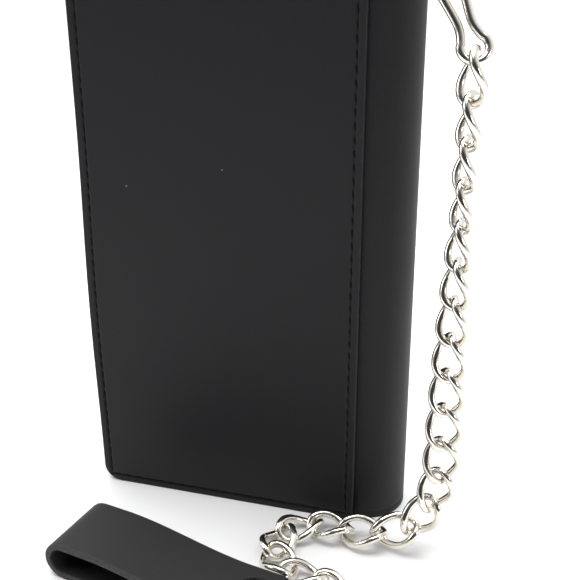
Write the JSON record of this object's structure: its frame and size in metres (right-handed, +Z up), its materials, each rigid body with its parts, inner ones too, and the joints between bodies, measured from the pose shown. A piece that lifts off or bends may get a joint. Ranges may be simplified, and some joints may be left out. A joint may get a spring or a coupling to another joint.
{
  "type": "chain wallet",
  "caption": "Long black leather bifold wallet standing on its edge, with a nickel curb chain on a spring clip and a leather belt loop with a press stud.",
  "frame": {"origin": "under the front panel's thickness, 54 mm in from its free edge, on the surface that the wallet stands on", "axes": "+X from the open edge to the spine, +Y from the front cover to the back cover, +Z up"},
  "size_m": [0.1284, 0.1024, 0.2069],
  "materials": {
    "black_leather": "smooth satin black full-grain leather with fine grain",
    "lining_cloth": "plain woven black lining",
    "nickel_plate": "bright nickel plate, slightly warm",
    "clear_film": "clear flexible film",
    "black_cap": "satin black lacquer"
  },
  "bodies": {
    "front_half": {"front_cover": "black_leather", "front_panel": "black_leather", "front_lining": "lining_cloth", "card_slot_1": "black_leather", "card_slot_2": "black_leather", "card_slot_3": "black_leather", "card_slot_4": "black_leather", "window_film": "clear_film", "window_pocket": "black_leather", "ring_tab": "black_leather"},
    "back_half": {"back_cover": "black_leather", "back_lining": "lining_cloth", "pouch_gusset": "lining_cloth", "pouch_panel": "black_leather", "zip_tape_upper": "lining_cloth", "zip_tape_lower": "lining_cloth", "zip_teeth_upper": "nickel_plate", "zip_teeth_lower": "nickel_plate"},
    "zip_slider": {"zip_slider": "nickel_plate"},
    "zip_pull": {"zip_pull": "nickel_plate"},
    "d_ring": {"d_ring": "nickel_plate"},
    "spring_clip": {"spring_clip": "nickel_plate"},
    "link_01": {"link_01": "nickel_plate"},
    "link_02": {"link_02": "nickel_plate"},
    "link_03": {"link_03": "nickel_plate"},
    "link_04": {"link_04": "nickel_plate"},
    "link_05": {"link_05": "nickel_plate"},
    "link_06": {"link_06": "nickel_plate"},
    "link_07": {"link_07": "nickel_plate"},
    "link_08": {"link_08": "nickel_plate"},
    "link_09": {"link_09": "nickel_plate"},
    "link_10": {"link_10": "nickel_plate"},
    "link_11": {"link_11": "nickel_plate"},
    "link_12": {"link_12": "nickel_plate"},
    "link_13": {"link_13": "nickel_plate"},
    "link_14": {"link_14": "nickel_plate"},
    "link_15": {"link_15": "nickel_plate"},
    "link_16": {"link_16": "nickel_plate"},
    "link_17": {"link_17": "nickel_plate"},
    "link_18": {"link_18": "nickel_plate"},
    "link_19": {"link_19": "nickel_plate"},
    "link_20": {"link_20": "nickel_plate"},
    "link_21": {"link_21": "nickel_plate"},
    "link_22": {"link_22": "nickel_plate"},
    "strap_ring": {"strap_ring": "nickel_plate"},
    "strap_base": {"strap_base": "black_leather", "ring_loop": "black_leather", "strap_rivet": "nickel_plate", "snap_stud": "nickel_plate"},
    "strap_flap": {"strap_flap": "black_leather", "snap_cap": "black_cap", "snap_socket": "nickel_plate"}
  },
  "joints": [
    {"name": "spine_fold", "type": "hinge", "parent": "front_half", "child": "back_half", "pos_m": [0.05265, 0.0151, 0], "axis": [0, 0, -1], "range_deg": [0, 174]},
    {"name": "zip_slide", "type": "slide", "parent": "back_half", "child": "zip_slider", "axis": [1, 0, 0], "range_m": [0, 0.052]},
    {"name": "zip_pull_swivel", "type": "hinge", "parent": "zip_slider", "child": "zip_pull", "pos_m": [-0.0332, 0.0198, 0.112], "axis": [0, 1, 0], "range_deg": [-60, 60]},
    {"name": "d_ring_swing", "type": "hinge", "parent": "front_half", "child": "d_ring", "pos_m": [0.043, 0.0086, 0.1943], "axis": [0, 1, 0], "range_deg": [-20, 0]},
    {"name": "clip_swing", "type": "hinge", "parent": "d_ring", "child": "spring_clip", "pos_m": [0.04667, 0.0086, 0.20339], "axis": [0, -1, 0], "range_deg": [0, 25]},
    {"name": "link_01_swing", "type": "hinge", "parent": "spring_clip", "child": "link_01", "pos_m": [0.06927, -0.00955, 0.16405], "axis": [-1, 0, 0], "range_deg": [0, 12]},
    {"name": "link_02_swing", "type": "hinge", "parent": "link_01", "child": "link_02", "pos_m": [0.06916, -0.00955, 0.15185], "axis": [0, 1, 0], "range_deg": [-17, 17]},
    {"name": "link_03_swing", "type": "hinge", "parent": "link_02", "child": "link_03", "pos_m": [0.06906, -0.00955, 0.13965], "axis": [1, 0, 0], "range_deg": [-12, 0]},
    {"name": "link_04_swing", "type": "hinge", "parent": "link_03", "child": "link_04", "pos_m": [0.06895, -0.00955, 0.12745], "axis": [0, -1, 0], "range_deg": [-18, 18]},
    {"name": "link_05_swing", "type": "hinge", "parent": "link_04", "child": "link_05", "pos_m": [0.06884, -0.00955, 0.11525], "axis": [-1, 0, 0], "range_deg": [0, 12]},
    {"name": "link_06_swing", "type": "hinge", "parent": "link_05", "child": "link_06", "pos_m": [0.06874, -0.00955, 0.10305], "axis": [0, 1, 0], "range_deg": [-15, 15]},
    {"name": "link_07_swing", "type": "hinge", "parent": "link_06", "child": "link_07", "pos_m": [0.06863, -0.00955, 0.09085], "axis": [1, 0, 0], "range_deg": [-12, 0]},
    {"name": "link_08_swing", "type": "hinge", "parent": "link_07", "child": "link_08", "pos_m": [0.06852, -0.00955, 0.07865], "axis": [0, -1, 0], "range_deg": [-14, 14]},
    {"name": "link_09_swing", "type": "hinge", "parent": "link_08", "child": "link_09", "pos_m": [0.06842, -0.00955, 0.06645], "axis": [-1, 0, 0], "range_deg": [0, 12]},
    {"name": "link_10_swing", "type": "hinge", "parent": "link_09", "child": "link_10", "pos_m": [0.06831, -0.00955, 0.05425], "axis": [0, 1, 0], "range_deg": [-14, 14]},
    {"name": "link_11_swing", "type": "hinge", "parent": "link_10", "child": "link_11", "pos_m": [0.0682, -0.00955, 0.04205], "axis": [1, 0, 0], "range_deg": [-12, 0]},
    {"name": "link_12_swing", "type": "hinge", "parent": "link_11", "child": "link_12", "pos_m": [0.0681, -0.00955, 0.02985], "axis": [0, 1, 0], "range_deg": [-15, 15]},
    {"name": "link_13_swing", "type": "hinge", "parent": "link_12", "child": "link_13", "pos_m": [0.06579, -0.00987, 0.0189], "axis": [1, 0, 0], "range_deg": [-15, 15]},
    {"name": "link_14_swing", "type": "hinge", "parent": "link_13", "child": "link_14", "pos_m": [0.06003, -0.01131, 0.0094], "axis": [1, 0, 0], "range_deg": [-14, 15]},
    {"name": "link_15_swing", "type": "hinge", "parent": "link_14", "child": "link_15", "pos_m": [0.04956, -0.01241, 0.00557], "axis": [0, 1, 0], "range_deg": [-15, 10]},
    {"name": "link_16_swing", "type": "hinge", "parent": "link_15", "child": "link_16", "pos_m": [0.03843, -0.01183, 0.00449], "axis": [0, 1, 0], "range_deg": [-15, 15]},
    {"name": "link_17_swing", "type": "hinge", "parent": "link_16", "child": "link_17", "pos_m": [0.02737, -0.01027, 0.00371], "axis": [1, 0, 0], "range_deg": [-15, 3]},
    {"name": "link_18_swing", "type": "hinge", "parent": "link_17", "child": "link_18", "pos_m": [0.01854, -0.01716, 0.00371], "axis": [0, 1, 0], "range_deg": [-15, 3]},
    {"name": "link_19_swing", "type": "hinge", "parent": "link_18", "child": "link_19", "pos_m": [0.01747, -0.02831, 0.00371], "axis": [0, 1, 0], "range_deg": [-15, 5]},
    {"name": "link_20_swing", "type": "hinge", "parent": "link_19", "child": "link_20", "pos_m": [0.02482, -0.03677, 0.00371], "axis": [1, 0, 0], "range_deg": [0, 15]},
    {"name": "link_21_swing", "type": "hinge", "parent": "link_20", "child": "link_21", "pos_m": [0.03601, -0.03716, 0.00371], "axis": [0, 1, 0], "range_deg": [-12, 4]},
    {"name": "link_22_swing", "type": "hinge", "parent": "link_21", "child": "link_22", "pos_m": [0.04505, -0.04372, 0.00449], "axis": [0, 1, 0], "range_deg": [-15, 0]},
    {"name": "strap_ring_turn", "type": "hinge", "parent": "link_22", "child": "strap_ring", "pos_m": [0.05079, -0.05329, 0.00547], "axis": [0, 0, 1], "range_deg": [-3, 24]},
    {"name": "strap_lift", "type": "hinge", "parent": "strap_ring", "child": "strap_base", "pos_m": [0.04349, -0.05971, 0.0059], "axis": [0.1908, 0.9816, 0], "range_deg": [0, 20]},
    {"name": "flap_open", "type": "hinge", "parent": "strap_base", "child": "strap_flap", "pos_m": [-0.03744, -0.04398, 0.01315], "axis": [-0.1908, -0.9816, 0], "range_deg": [0, 110]}
  ]
}
